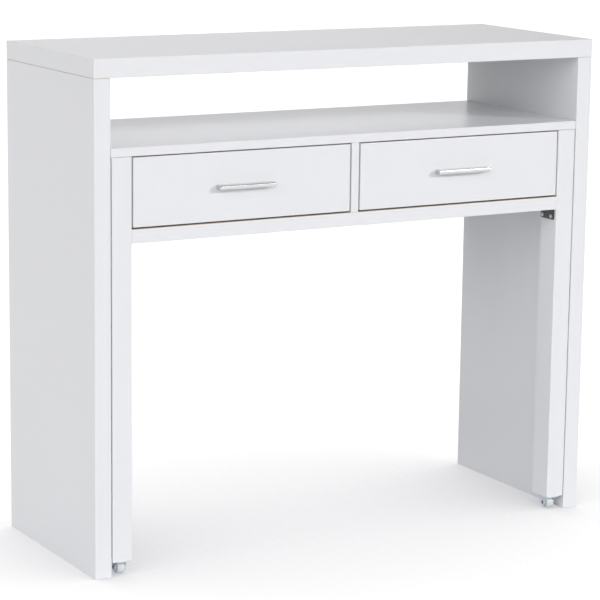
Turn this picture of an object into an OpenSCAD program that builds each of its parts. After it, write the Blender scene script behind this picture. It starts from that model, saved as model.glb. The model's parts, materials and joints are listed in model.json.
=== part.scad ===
// Pull-out console desk. A writing desk on two casters, with two drawers, slides out of a
// three-sided console on full-extension ball slides.
// Axes: X across, Y from front to back, Z up. The floor is z = 0.

/* [Console] */
// Overall width
total_w = 990; // [900:10:1200]
// Depth from the front plane to the back plane
total_d = 360; // [345:5:420]
// Overall height
total_h = 875; // [840:5:950]
// Thickness of the top slab
slab_t = 32; // [25:1:40]
// Thickness of a side panel
side_t = 30; // [22:1:38]
// Height of the rear stretcher
stretcher_h = 100; // [70:5:130]
// Thickness of the rear stretcher
stretcher_t = 15; // [12:1:18]

/* [Writing desk] */
// Height of the writing surface
desk_h = 728; // [700:2:745]
// Thickness of the desk top
desk_t = 15; // [14:1:22]
// Gap between the desk top and each console side
desk_side_gap = 0.5; // [0.4:0.1:1.5]
// Distance from the desk top's back edge to the console's back plane
desk_back_gap = 1.5; // [0.5:0.5:10]
// How far the desk slides out
desk_travel = 340; // [240:10:340]

/* [Posts and drawer box] */
// Width of a front post
post_w = 36; // [34:1:44]
// Depth of a front post below the drawer box
post_d = 48; // [44:1:60]
// Gap between a post and the console side
post_gap = 2; // [1:0.5:4]
// Thickness of the front pieces: post tongue, rail and drawer fronts
front_t = 16; // [15:1:19]
// Height of the front rail
rail_h = 24; // [20:1:30]
// Height of the drawer openings
opening_h = 121; // [112:1:135]
// Thickness of the bottom, the back and the divider of the drawer box
box_panel_t = 15; // [14:1:18]
// Clear depth between the drawer box and the rear stretcher
box_rear_gap = 11; // [5:1:30]

/* [Drawers] */
// Gap on each side of a drawer front
front_side_gap = 2.8; // [1.5:0.1:3.2]
// Gap above a drawer front
front_top_gap = 2; // [1.5:0.1:4]
// Gap below a drawer front
front_bottom_gap = 2.5; // [1.5:0.1:4]
// Thickness of the drawer sides and backs
drawer_t = 12; // [10:1:14]
// Height of the drawer sides
drawer_h = 90; // [80:1:100]
// Thickness of a drawer bottom
drawer_base_t = 3; // [2.5:0.5:5]
// Height of a drawer bottom above the lower edge of its sides
drawer_base_up = 8; // [6:1:14]
// Depth of the grooves that hold a drawer bottom
groove_d = 6; // [4:0.5:7]
// How far a drawer slides out
drawer_travel = 210; // [150:10:220]

/* [Slides] */
// Thickness of a slide, wall to wall
slide_w = 12.7; // [12.5:0.1:13.5]
// Height of a desk slide
desk_slide_h = 45; // [42:1:50]
// Height of a drawer slide
drawer_slide_h = 35; // [32:1:40]
// Thickness of the slide steel
slide_steel = 1; // [0.9:0.05:1.1]
// Thickness of the ball cages
cage_steel = 0.5; // [0.4:0.05:0.6]
// Ball diameter
ball_d = 3.5; // [3.2:0.1:3.6]
// Running gap between a ball and its track
ball_gap = 0.12; // [0.1:0.01:0.15]
// Distance from ball to ball
ball_pitch = 20; // [15:1:30]

/* [Handles] */
// Length of a handle
handle_len = 107; // [104:1:140]
// How far a handle stands out
handle_d = 15; // [14:1:22]
// Height of a handle
handle_h = 8; // [7:0.5:12]
// Wall over and in front of the finger hollow
handle_wall = 2; // [1.5:0.1:2.5]
// Radius of a handle's long front edges
handle_edge_r = 2.5; // [0.5:0.1:2.8]
// Distance between a handle's two screws
handle_pitch = 96; // [80:4:96]

/* [Casters] */
// Height of a caster, floor to plate
caster_h = 25; // [25:1:32]
// Wheel diameter
wheel_d = 22; // [19:0.5:22]
// Wheel width
wheel_w = 15; // [12:0.5:15]
// Axle diameter
axle_d = 5; // [4:0.5:6]
// Width of a caster plate
plate_w = 24.5; // [22:0.5:26]
// Length of a caster plate
plate_len = 37; // [35:1:40]
// Thickness of the plate and the fork
plate_t = 1.8; // [1.5:0.1:2]
// Distance from the front plane to the wheel's axle
axle_y = 19.5; // [18:0.5:21]
// Distance from the post's middle to the wheel's middle, towards the knee space
caster_in = 2.5; // [0:0.5:3]

/* [Brackets and fixings] */
// Length of a corner bracket
bracket_len = 40; // [34:1:42]
// Width of each bracket flange
bracket_w = 20; // [16:1:24]
// Thickness of a bracket
bracket_t = 2; // [1.5:0.5:3]
// Shank diameter of the wood screws
screw_d = 3.5; // [3:0.25:4]
// Diameter of the wooden dowels
dowel_d = 8; // [6:1:8]
// Diameter of the cam locks
cam_d = 15; // [12:1:15]
// Width of the eased edges on the boards
ease = 0.6; // [0.3:0.1:1]

/* [Hidden] */

// Clearances
fit = 0.05;
board_fit = 0.1;
bore_end = 1;
slide_end_gap = 2;
drawer_rear_gap = 12;
drawer_lift = 6;
stretcher_drop = 8;
cage_margin = 10;
wheel_side_gap = 0.7;
plate_front = 0.5;
bracket_set_back = 2;
eps = 0.01;

// Colours
board_white = [0.93, 0.93, 0.94];
dowel_tan = [0.80, 0.66, 0.45];
zinc_steel = [0.72, 0.74, 0.76];
dark_steel = [0.30, 0.32, 0.33];
ball_steel = [0.85, 0.86, 0.88];
chrome_bright = [0.88, 0.89, 0.90];
wheel_white = [0.90, 0.91, 0.91];
base_white = [0.88, 0.87, 0.85];

// The origin is under the middle of the bounding box, handles included
front_y = -(total_d - handle_d) / 2;

// Console
inner_x = total_w / 2 - side_t;
under_slab = total_h - slab_t;

// Writing desk and drawer box
desk_under = desk_h - desk_t;
desk_top_x = inner_x - desk_side_gap;
rail_top = desk_under - opening_h;
box_z = rail_top - rail_h;
box_top_of_base = box_z + box_panel_t;
post_out_x = inner_x - post_gap;
post_in_x = post_out_x - post_w;
box_in_x = post_in_x;
box_out_x = inner_x - slide_w;
drawer_out_x = box_in_x - slide_w;
box_back_y = total_d - stretcher_t - box_rear_gap;

// Desk slides
slide_y = front_t + slide_end_gap;
desk_slide_len = total_d - slide_y - slide_end_gap;
desk_slide_z = (box_z + desk_under) / 2;
stretcher_z = desk_slide_z - desk_slide_h / 2 - stretcher_drop - stretcher_h;
desk_cage_len = desk_slide_len - desk_travel / 2 - 2 * cage_margin;
desk_cage_y = slide_y + desk_travel / 4 + cage_margin;

// Drawers, drawn on the right-hand side
drawer_in_x = box_panel_t / 2 + slide_w;
drawer_z = rail_top + drawer_lift;
drawer_len = box_back_y - box_panel_t - front_t - drawer_rear_gap;
drawer_slide_len = drawer_len;
drawer_slide_z = drawer_z + drawer_h / 2;
drawer_cage_len = drawer_slide_len - drawer_travel - 2 * cage_margin;
drawer_cage_y = slide_y + drawer_travel / 2 + cage_margin;
front_in_x = box_panel_t / 2 + front_side_gap;
front_out_x = post_in_x - front_side_gap;
front_mid_x = (front_in_x + front_out_x) / 2;
front_low_z = rail_top + front_bottom_gap;
front_high_z = desk_under - front_top_gap;
handle_z = (front_low_z + front_high_z) / 2;

// Ball tracks: u runs from the fixed wall to the moving wall, v up from the middle
bend_r = 1.5;
track_r = ball_d / 2 + ball_gap + slide_steel / 2;
weave = 45;
middle_web_u = slide_steel + 2 * 0.25 + cage_steel + slide_steel / 2;
inner_ball_u = middle_web_u + track_r;
outer_ball_u = inner_ball_u + 2 * track_r * cos(weave);
outer_ball_v = desk_slide_h / 2 - slide_steel / 2 - track_r;
inner_ball_v = outer_ball_v - 2 * track_r * sin(weave);
drawer_ball_u = slide_w / 2;
drawer_ball_v = drawer_slide_h / 2 - slide_steel / 2 - track_r;
outer_cage_u = slide_steel + 0.25 + cage_steel / 2;
inner_cage_u = middle_web_u + slide_steel / 2 + 0.3 + cage_steel / 2;
drawer_cage_u = drawer_ball_u - track_r - 0.7;

// Fixings
screw_len = 14;
screw_head_r = screw_d * 0.95;
screw_head_h = 2;
handle_screw_d = 3.5;
handle_screw_deep = 9;
dowel_len = 38;
box_dowel_len = 30;
box_dowel_in_top = 9;
// A cam fitting: lock diameter, lock depth, bolt diameter, bolt in the wall, bolt in the panel
console_cam = [cam_d, 12, 6, 12, 34];
drawer_cam = [12, 9.5, 5, 10, 24];

// Casters
caster_x = (post_in_x + post_out_x) / 2 - caster_in;
fork_in = wheel_w / 2 + wheel_side_gap;
plate_mid_y = plate_front + plate_len / 2 - axle_y;
caster_screw_d = 3;
caster_screw_x = fork_in - 3.2;
caster_screw_y = plate_len / 2 - 4;

// Helpers

module placed() translate([0, front_y, 0]) children();
module mirrored() mirror([1, 0, 0]) children();
module both() {
    children();
    mirrored() children();
}

// A rectangle with its corners cut off
module eased_square(a, b) {
    polygon([[ease, 0], [a - ease, 0], [a, ease], [a, b - ease],
        [a - ease, b], [ease, b], [0, b - ease], [0, ease]]);
}

// A board between two corners, with all its edges eased
module board(low, high) {
    size = high - low;
    translate(low) intersection() {
        linear_extrude(size[2]) eased_square(size[0], size[1]);
        translate([0, size[1], 0]) rotate([90, 0, 0])
            linear_extrude(size[1]) eased_square(size[0], size[2]);
        rotate([90, 0, 90]) linear_extrude(size[0]) eased_square(size[1], size[2]);
    }
}

// A plain block between two corners
module block(low, high) translate(low) cube(high - low);

// Turns +Z to +X
module along_x() rotate([0, 90, 0]) children();
// Turns +Z to +Y
module along_y() rotate([-90, 0, 0]) children();

module hole(d, len) cylinder(h = len, d = d, $fn = 32);

// A wood screw: the head's seat is at the origin, the shank runs along +Z
module pan_screw(d, len) {
    translate([0, 0, -screw_head_h]) cylinder(h = screw_head_h, r = screw_head_r, $fn = 32);
    cylinder(h = len - d, d = d, $fn = 24);
    translate([0, 0, len - d]) cylinder(h = d, d1 = d, d2 = 0.6, $fn = 24);
}

// A countersunk wood screw: the head's face is at the origin
module flat_screw(d, len) {
    cylinder(h = d / 2, r1 = d, r2 = d / 2, $fn = 32);
    cylinder(h = len - d, d = d, $fn = 24);
    translate([0, 0, len - d]) cylinder(h = d, d1 = d, d2 = 0.6, $fn = 24);
}

// The space a countersunk screw needs, with its running clearance
module flat_screw_seat(d, len) {
    translate([0, 0, -eps]) cylinder(h = d / 2 + fit, r1 = d + fit + eps, r2 = d / 2 + fit, $fn = 32);
    hole(d + 2 * fit, len + bore_end);
}

// Slides

function unit(v) = v / norm(v);
function arc(c, r, a0, a1, n = 7) = [for (i = [0:n])
    let (a = a0 + (a1 - a0) * i / n) [c[0] + r * cos(a), c[1] + r * sin(a)]];
function shifted(path, by) = [for (i = [0:len(path) - 1])
    let (d = unit(path[min(i + 1, len(path) - 1)] - path[max(i - 1, 0)]))
    path[i] + by * [-d[1], d[0]]];
function reversed(path) = [for (i = [len(path) - 1:-1:0]) path[i]];
// A half profile and its mirror image below make a channel
function channel(half) = concat(reversed([for (p = half) [p[0], -p[1]]]), half);

// Sheet metal of thickness t bent along a path
module sheet(path, t) polygon(concat(shifted(path, t / 2), reversed(shifted(path, -t / 2))));

// The wall-side channel: its flanges curl over the balls
function outer_half(ball_u, ball_v) = let (web = slide_steel / 2, top = ball_v + track_r) concat(
    [[web, top - bend_r - 4]],
    arc([web + bend_r, top - bend_r], bend_r, 180, 90, 4),
    arc([ball_u, ball_v], track_r, 90, 35)
);

// The middle channel: it weaves over the inner balls and under the outer balls
function middle_half() = concat(
    [[middle_web_u, inner_ball_v - 4]],
    arc([inner_ball_u, inner_ball_v], track_r, 180, weave),
    arc([outer_ball_u, outer_ball_v], track_r, weave + 180 + 12, 345)
);

// The channel on the moving side: its flanges run under the balls
function inner_half(ball_u, ball_v, curl) = let (web = slide_w - slide_steel / 2, top = ball_v - track_r)
    concat(
        [[web, top - bend_r - 4]],
        arc([web - bend_r, top - bend_r], bend_r, 0, 90, 4),
        arc([ball_u, ball_v], track_r, 270, curl, 4)
    );

// A cage strip: its flanges hold the balls
function cage_half(web_u, ball_u, v) = concat(
    [[web_u, v - 4]],
    arc([web_u + 1, v - 1], 1, 180, 90, 3),
    [[ball_u + ball_d / 2 + 0.8, v]]
);

// A profile in u and v, run along Y from y0
module run(y0, len) translate([0, y0 + len, 0]) rotate([90, 0, 0]) linear_extrude(len) children();

// Y places of count fixings along a length
function spread(y0, len, count, end) = [for (i = [0:count - 1]) y0 + end + (len - 2 * end) * i / (count - 1)];

desk_slide_fix_y = spread(slide_y, desk_slide_len, 3, 25);
drawer_slide_fix_y = spread(slide_y, drawer_slide_len, 2, 30);

module cage(y0, len, web_u, ball_u, ball_v, v_shift) {
    v = ball_v + v_shift;
    count = floor((len - 10) / ball_pitch) + 1;
    first = y0 + (len - (count - 1) * ball_pitch) / 2;
    color(zinc_steel) difference() {
        run(y0, len) sheet(channel(cage_half(web_u, ball_u, v)), cage_steel);
        for (i = [0:count - 1], s = [-1, 1])
            translate([ball_u, first + i * ball_pitch, s * v - 2.4]) hole(ball_d + 2 * board_fit, 4.8);
    }
    color(ball_steel) for (i = [0:count - 1], s = [-1, 1])
        translate([ball_u, first + i * ball_pitch, s * ball_v]) sphere(d = ball_d, $fn = 24);
}

// Puts a right-hand desk slide against the console side
module at_desk_slide() translate([inner_x, 0, desk_slide_z]) mirrored() children();
// Puts the outer slide of the right-hand drawer against the box side
module at_drawer_slide_outer() translate([box_in_x, 0, drawer_slide_z]) mirrored() children();
// Puts the inner slide of the right-hand drawer against the divider
module at_drawer_slide_inner() translate([box_panel_t / 2, 0, drawer_slide_z]) children();
module at_drawer_slides() {
    at_drawer_slide_outer() children();
    at_drawer_slide_inner() children();
}

module desk_slide_outer() color(zinc_steel) difference() {
    run(slide_y, desk_slide_len) sheet(channel(outer_half(outer_ball_u, outer_ball_v)), slide_steel);
    desk_slide_outer_fixings() flat_screw_seat(screw_d, screw_len);
}
// From the face of the web into the wall
module desk_slide_outer_fixings() for (y = desk_slide_fix_y)
    translate([slide_steel, y, 0]) rotate([0, -90, 0]) children();

module desk_slide_middle() color(zinc_steel) difference() {
    run(slide_y, desk_slide_len) sheet(channel(middle_half()), slide_steel);
    for (y = desk_slide_fix_y) translate([0, y, 0]) along_x() hole(9, slide_w);
}

module desk_slide_inner() color(zinc_steel) difference() {
    run(slide_y, desk_slide_len) sheet(channel(inner_half(inner_ball_u, inner_ball_v, 255)), slide_steel);
    inner_fixings(desk_slide_fix_y) hole(screw_d + 2 * fit, screw_len);
}
// From the inner channel's web into the moving wall
module inner_fixings(places) for (y = places)
    translate([slide_w - slide_steel, y, 0]) along_x() children();

module drawer_slide_outer() color(zinc_steel) difference() {
    run(slide_y, drawer_slide_len) sheet(channel(outer_half(drawer_ball_u, drawer_ball_v)), slide_steel);
    drawer_slide_outer_fixings() flat_screw_seat(screw_d, screw_len - 3);
}
module drawer_slide_outer_fixings() for (y = drawer_slide_fix_y)
    translate([slide_steel, y, 0]) rotate([0, -90, 0]) children();

module drawer_slide_inner() color(zinc_steel) difference() {
    run(slide_y, drawer_slide_len) sheet(channel(inner_half(drawer_ball_u, drawer_ball_v, 230)), slide_steel);
    inner_fixings(drawer_slide_fix_y) hole(screw_d + 2 * fit, screw_len);
}

// Console

module dowel_places() for (y = spread(0, total_d, 3, 45))
    translate([inner_x + side_t / 2, y, under_slab]) children();
module dowel(len, down) translate([0, 0, -down]) {
    cylinder(h = 1.5, d1 = dowel_d - 2, d2 = dowel_d, $fn = 32);
    translate([0, 0, 1.5]) cylinder(h = len - 3, d = dowel_d, $fn = 32);
    translate([0, 0, len - 1.5]) cylinder(h = 1.5, d1 = dowel_d, d2 = dowel_d - 2, $fn = 32);
}
module dowel_bore(len, down) translate([0, 0, -down - bore_end]) hole(dowel_d + 2 * fit, len + 2 * bore_end);

console_dowel_down = dowel_len / 2;

module cam_places() for (z = [stretcher_z + stretcher_h / 4, stretcher_z + stretcher_h * 3 / 4])
    translate([inner_x, total_d - stretcher_t / 2, z]) rotate([-90, 0, 0]) rotate([0, -90, 0]) children();
// A cam fitting runs along +Z from the joint, and its lock opens to +X on a panel of thickness t
module cam_bolt(c) {
    translate([0, 0, -c[3]]) cylinder(h = c[3] + c[4] - 7, d = c[2], $fn = 32);
    translate([0, 0, c[4] - 7]) cylinder(h = 3.5, d = c[2] - 2.5, $fn = 32);
    translate([0, 0, c[4] - 3.5]) cylinder(h = 3, d = c[2], $fn = 32);
}
module cam_lock(c, t) difference() {
    translate([t / 2, 0, c[4]]) rotate([0, -90, 0]) difference() {
        cylinder(h = c[1], d = c[0], $fn = 48);
        translate([-c[0] / 2, -0.8, -eps]) cube([c[0], 1.6, 1.5]);
    }
    translate([0, 0, c[4] - c[0]]) hole(c[2] + 2 * board_fit, 2 * c[0]);
}
module cam_fitting(c, t) {
    cam_bolt(c);
    cam_lock(c, t);
}
module cam_bores(c, t) {
    translate([0, 0, -c[3] - bore_end]) hole(c[2] + 2 * fit, c[3] + c[4] + 2 * bore_end);
    translate([t / 2 + eps, 0, c[4]]) rotate([0, -90, 0]) hole(c[0] + 2 * fit, c[1] + 0.2);
}

module console_side() color(board_white) difference() {
    board([inner_x, 0, 0], [total_w / 2, total_d, under_slab]);
    dowel_places() dowel_bore(dowel_len, console_dowel_down);
    cam_places() cam_bores(console_cam, stretcher_t);
    at_desk_slide() desk_slide_outer_fixings() flat_screw_seat(screw_d, screw_len);
}

module console_top() placed() color(board_white) difference() {
    board([-total_w / 2, 0, under_slab], [total_w / 2, total_d, total_h]);
    both() dowel_places() dowel_bore(dowel_len, console_dowel_down);
}
module console_side_right() placed() console_side();
module console_side_left() placed() mirrored() console_side();

module rear_stretcher() placed() color(board_white) difference() {
    board([-inner_x, total_d - stretcher_t, stretcher_z], [inner_x, total_d, stretcher_z + stretcher_h]);
    both() cam_places() cam_bores(console_cam, stretcher_t);
}

module console_dowels() placed() color(dowel_tan)
    both() dowel_places() dowel(dowel_len, console_dowel_down);
module cam_fittings() placed() color(zinc_steel)
    both() cam_places() cam_fitting(console_cam, stretcher_t);

module desk_slide_outer_right() placed() at_desk_slide() desk_slide_outer();
module desk_slide_outer_left() placed() mirrored() at_desk_slide() desk_slide_outer();
module desk_slide_outer_screws() placed() color(zinc_steel)
    both() at_desk_slide() desk_slide_outer_fixings() flat_screw(screw_d, screw_len);

// Writing desk

module desk_top() placed() color(board_white) difference() {
    board([-desk_top_x, 0, desk_under], [desk_top_x, total_d - desk_back_gap, desk_h]);
    both() box_dowel_places() dowel_bore(box_dowel_len, box_dowel_down);
    middle_dowel_places() dowel_bore(box_dowel_len, box_dowel_down);
}

box_dowel_down = box_dowel_len - box_dowel_in_top;
// Dowels between the desk top and a box side, and between the desk top and the divider
module box_dowel_places() for (y = spread(front_t, box_back_y - front_t, 3, 40))
    translate([(box_in_x + box_out_x) / 2, y, desk_under]) children();
module middle_dowel_places() for (y = spread(front_t, box_back_y - front_t, 2, 60))
    translate([0, y, desk_under]) children();
// Dowels from the rail back into the bottom, and from a post's tongue back into a box side
module rail_dowel_places() for (i = [-2:2])
    translate([i * box_in_x * 0.44, front_t, box_z + box_panel_t / 2]) rotate([90, 0, 0]) children();
module tongue_dowel_places() for (z = [box_z + 40, desk_under - 35])
    translate([(box_in_x + box_out_x) / 2, front_t, z]) rotate([90, 0, 0]) children();
module box_dowels() placed() color(dowel_tan) {
    both() box_dowel_places() dowel(box_dowel_len, box_dowel_down);
    both() tongue_dowel_places() dowel(box_dowel_len, box_dowel_down);
    middle_dowel_places() dowel(box_dowel_len, box_dowel_down);
    rail_dowel_places() dowel(box_dowel_len, box_dowel_down);
}

// Long countersunk screws: box sides to bottom and back, bottom to divider
module box_screw_places() {
    for (y = spread(front_t, box_back_y - front_t, 3, 50))
        translate([box_out_x, y, box_z + box_panel_t / 2]) rotate([0, -90, 0]) children();
    for (z = [box_z + 45, desk_under - 25])
        translate([box_out_x, box_back_y - box_panel_t / 2, z]) rotate([0, -90, 0]) children();
}
module divider_screw_places() for (y = [70, box_back_y - 70])
    translate([0, y, box_z]) children();
module box_screws() placed() color(zinc_steel) {
    both() box_screw_places() flat_screw(box_screw_d, box_screw_len);
    divider_screw_places() flat_screw(box_screw_d, box_screw_len);
}
box_screw_d = 4;
box_screw_len = 50;

// A post has its full section below the drawer box and a thin tongue in front of it
module post() color(board_white) difference() {
    board([post_in_x, 0, caster_h], [post_out_x, post_d, desk_under]);
    block([post_in_x - 1, front_t, box_z], [post_out_x + 1, post_d + 1, desk_under + 1]);
    tongue_dowel_places() dowel_bore(box_dowel_len, box_dowel_down);
    bracket_post_places() hole(screw_d + 2 * fit, screw_len + bore_end);
    caster_screw_places() hole(caster_screw_d + 2 * fit, screw_len + bore_end);
}
module post_right() placed() post();
module post_left() placed() mirrored() post();

module front_rail() placed() color(board_white) difference() {
    board([-post_in_x, 0, box_z], [post_in_x, front_t, rail_top]);
    rail_dowel_places() dowel_bore(box_dowel_len, box_dowel_down);
}

module box_side() color(board_white) difference() {
    board([box_in_x, front_t, box_z], [box_out_x, box_back_y, desk_under]);
    box_dowel_places() dowel_bore(box_dowel_len, box_dowel_down);
    tongue_dowel_places() dowel_bore(box_dowel_len, box_dowel_down);
    box_screw_places() flat_screw_seat(box_screw_d, box_screw_len);
    at_desk_slide() inner_fixings(desk_slide_fix_y) hole(screw_d + 2 * fit, inner_screw_len + bore_end);
    at_drawer_slide_outer() drawer_slide_outer_fixings() flat_screw_seat(screw_d, drawer_screw_len);
}
inner_screw_len = 12;
drawer_screw_len = 7;

module box_side_right() placed() box_side();
module box_side_left() placed() mirrored() box_side();

module box_bottom() placed() color(board_white) difference() {
    board([-box_in_x, front_t, box_z], [box_in_x, box_back_y, box_top_of_base]);
    rail_dowel_places() dowel_bore(box_dowel_len, box_dowel_down);
    both() bracket_box_places() hole(screw_d + 2 * fit, screw_len - 3 + bore_end);
    both() box_screw_places() flat_screw_seat(box_screw_d, box_screw_len);
    divider_screw_places() flat_screw_seat(box_screw_d, box_screw_len);
}
module box_back() placed() color(board_white) difference() {
    board([-box_in_x, box_back_y - box_panel_t, box_top_of_base], [box_in_x, box_back_y, desk_under]);
    both() box_screw_places() flat_screw_seat(box_screw_d, box_screw_len);
}

module drawer_divider() placed() color(board_white) difference() {
    board([-box_panel_t / 2, 0, box_top_of_base], [box_panel_t / 2, box_back_y - box_panel_t, desk_under]);
    block([-box_panel_t, -1, box_z], [box_panel_t, front_t, rail_top]);
    middle_dowel_places() dowel_bore(box_dowel_len, box_dowel_down);
    divider_screw_places() flat_screw_seat(box_screw_d, box_screw_len);
    both() at_drawer_slide_inner() drawer_slide_outer_fixings() flat_screw_seat(screw_d, drawer_screw_len);
}

module desk_slide_inner_right() placed() at_desk_slide() desk_slide_inner();
module desk_slide_inner_left() placed() mirrored() at_desk_slide() desk_slide_inner();
module desk_slide_inner_screws() placed() color(zinc_steel)
    both() at_desk_slide() inner_fixings(desk_slide_fix_y) pan_screw(screw_d, inner_screw_len);

module drawer_right_slide_outer() placed() at_drawer_slides() drawer_slide_outer();
module drawer_left_slide_outer() placed() mirrored() at_drawer_slides() drawer_slide_outer();
module drawer_slide_outer_screws() placed() color(zinc_steel) both() at_drawer_slides()
    drawer_slide_outer_fixings() flat_screw(screw_d, drawer_screw_len);

// Corner brackets between the posts and the drawer box; the level flange starts behind the rail

bracket_y = (post_d - bracket_len) / 2 + 1;
bracket_end_y = bracket_y + bracket_len;
level_y = front_t + bracket_set_back;
// Along +X into the post
module bracket_post_places() for (y = [bracket_y + 7, bracket_end_y - 7])
    translate([post_in_x - bracket_t, y, box_z - bracket_w * 0.7]) along_x() children();
// Along +Z into the bottom
module bracket_box_places() for (y = [level_y + 7, bracket_end_y - 7])
    translate([post_in_x - bracket_w * 0.6, y, box_z - bracket_t]) children();

module flange(long, wide, thick, r = 3) linear_extrude(thick) {
    square([long, wide - r]);
    translate([r, 0]) square([long - 2 * r, wide]);
    for (x = [r, long - r]) translate([x, wide - r]) circle(r = r, $fn = 32);
}
module corner_bracket() color(dark_steel) difference() {
    union() {
        translate([post_in_x - bracket_t, bracket_end_y, box_z]) along_x() rotate([0, 0, -90])
            flange(bracket_len, bracket_w, bracket_t);
        translate([post_in_x, level_y, box_z - bracket_t]) rotate([0, 0, 90])
            flange(bracket_end_y - level_y, bracket_w, bracket_t);
    }
    bracket_post_places() translate([0, 0, -eps]) hole(screw_d + 2 * fit, bracket_t + 2 * eps);
    bracket_box_places() translate([0, 0, -eps]) hole(screw_d + 2 * fit, bracket_t + 2 * eps);
}
module corner_brackets() placed() both() corner_bracket();
module corner_bracket_screws() placed() color(zinc_steel) both() {
    bracket_post_places() pan_screw(screw_d, screw_len);
    bracket_box_places() pan_screw(screw_d, screw_len - 3);
}

// Casters

module at_caster() translate([caster_x, axle_y, 0]) children();
module caster_screw_places() at_caster() caster_screw_at(caster_h - plate_t) children();
module caster_screw_at(z) for (x = [-1, 1], y = [-1, 1])
    translate([x * caster_screw_x, plate_mid_y + y * caster_screw_y, z]) children();

// One cheek of the fork, drawn in Y and Z round the axle: it widens in a hollow curve to the plate
module cheek_outline() difference() {
    union() {
        circle(r = cheek_r, $fn = 48);
        polygon(concat(
            [for (i = [0:8]) [cheek_r + (cheek_back - cheek_r) * pow(i / 8, 3), cheek_top * i / 8]],
            [for (i = [8:-1:0]) [-cheek_r - (cheek_front - cheek_r) * pow(i / 8, 3), cheek_top * i / 8]]
        ));
    }
    circle(d = axle_d - 2 * rivet_step, $fn = 32);
}
cheek_r = axle_d / 2 + 4.5;
cheek_top = caster_h - plate_t / 2 - wheel_d / 2;
cheek_front = axle_y - plate_front;
cheek_back = plate_len - cheek_front;
rivet_step = 0.5;

module caster_fork() at_caster() color(zinc_steel) {
    difference() {
        translate([0, plate_mid_y, caster_h - plate_t]) linear_extrude(plate_t) plate_outline();
        caster_screw_at(caster_h - plate_t - eps) hole(caster_screw_d + 2 * fit, plate_t + 2 * eps);
    }
    for (s = [0, 1]) mirror([s, 0, 0])
        translate([fork_in, 0, wheel_d / 2]) rotate([90, 0, 90]) linear_extrude(plate_t) cheek_outline();
}
module plate_outline(r = 1.5) {
    square([plate_w, plate_len - 2 * r], center = true);
    square([plate_w - 2 * r, plate_len], center = true);
    for (x = [-1, 1], y = [-1, 1]) translate([x * (plate_w / 2 - r), y * (plate_len / 2 - r)])
        circle(r = r, $fn = 32);
}
module caster_fork_right() placed() caster_fork();
module caster_fork_left() placed() mirrored() caster_fork();

// A shouldered rivet through both cheeks
module caster_axle() at_caster() translate([0, 0, wheel_d / 2]) {
    half = fork_in + plate_t;
    translate([-fork_in + fit, 0, 0]) along_x() cylinder(h = 2 * (fork_in - fit), d = axle_d, $fn = 48);
    translate([-half - 0.2, 0, 0]) along_x()
        cylinder(h = 2 * half + 0.4, d = axle_d - 2 * rivet_step - 2 * fit, $fn = 48);
    for (s = [0, 1]) mirror([s, 0, 0]) translate([half, 0, 0]) along_x()
        cylinder(h = 1.2, d1 = axle_d + 2, d2 = axle_d, $fn = 48);
}
module caster_axles() placed() color(zinc_steel) both() caster_axle();
module caster_screws() placed() color(zinc_steel) both() caster_screw_places() pan_screw_small();
module pan_screw_small() {
    translate([0, 0, -1.6]) cylinder(h = 1.6, d = 4.6, $fn = 32);
    cylinder(h = screw_len - caster_screw_d, d = caster_screw_d, $fn = 24);
    translate([0, 0, screw_len - caster_screw_d])
        cylinder(h = caster_screw_d, d1 = caster_screw_d, d2 = 0.6, $fn = 24);
}

// A moulded wheel: crowned tread with round shoulders, dished faces and a hub
wheel_round = 2.4;
function wheel_face() = let (rim = wheel_d / 2 - 0.3 - wheel_round, hub = axle_d / 2) concat(
    [[hub + fit, 0], [hub + 2, 0], [hub + 2.4, 1.2], [rim - 1, 1.2], [rim - 0.4, 0.3]],
    arc([rim, wheel_round + 0.2], wheel_round, -90, 0, 6),
    [[wheel_d / 2 - 0.05, wheel_w / 2 - 2], [wheel_d / 2, wheel_w / 2 - 1]]
);
module caster_wheel() at_caster() color(wheel_white) translate([-wheel_w / 2, 0, wheel_d / 2]) along_x()
    rotate_extrude($fn = 64)
        polygon(concat(wheel_face(), [for (p = reversed(wheel_face())) [p[0], wheel_w - p[1]]]));
module caster_wheel_right() placed() caster_wheel();
module caster_wheel_left() placed() mirrored() caster_wheel();

// Slide middles and cages

module desk_slide_middle_right() placed() at_desk_slide() desk_slide_middle();
module desk_slide_middle_left() placed() mirrored() at_desk_slide() desk_slide_middle();
module desk_outer_cage() cage(desk_cage_y, desk_cage_len, outer_cage_u, outer_ball_u, outer_ball_v, 0.25);
module desk_inner_cage() cage(desk_cage_y, desk_cage_len, inner_cage_u, inner_ball_u, inner_ball_v, -0.15);
module desk_slide_outer_cage_right() placed() at_desk_slide() desk_outer_cage();
module desk_slide_outer_cage_left() placed() mirrored() at_desk_slide() desk_outer_cage();
module desk_slide_inner_cage_right() placed() at_desk_slide() desk_inner_cage();
module desk_slide_inner_cage_left() placed() mirrored() at_desk_slide() desk_inner_cage();
module drawer_cage() cage(drawer_cage_y, drawer_cage_len, drawer_cage_u, drawer_ball_u, drawer_ball_v, 0.25);
module drawer_right_slide_cages() placed() at_drawer_slides() drawer_cage();
module drawer_left_slide_cages() placed() mirrored() at_drawer_slides() drawer_cage();

// Drawers

drawer_rear_y = front_t + drawer_len;
base_z = drawer_z + drawer_base_up;
// The drawer bottom, larger by grow on each side for its grooves
module drawer_base_solid(grow)
    block([drawer_in_x + drawer_t - groove_d + 0.5 - grow, front_t - groove_d + 0.5 - grow, base_z - grow],
        [drawer_out_x - drawer_t + groove_d - 0.5 + grow, drawer_rear_y + grow,
            base_z + drawer_base_t + grow]);

module drawer_front() color(board_white) difference() {
    board([front_in_x, 0, front_low_z], [front_out_x, front_t, front_high_z]);
    drawer_base_solid(board_fit);
    handle_places() translate([0, 0, -1]) hole(handle_screw_d + 2 * fit, front_t + 2);
    drawer_cam_places() cam_bores(drawer_cam, drawer_t);
}
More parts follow.
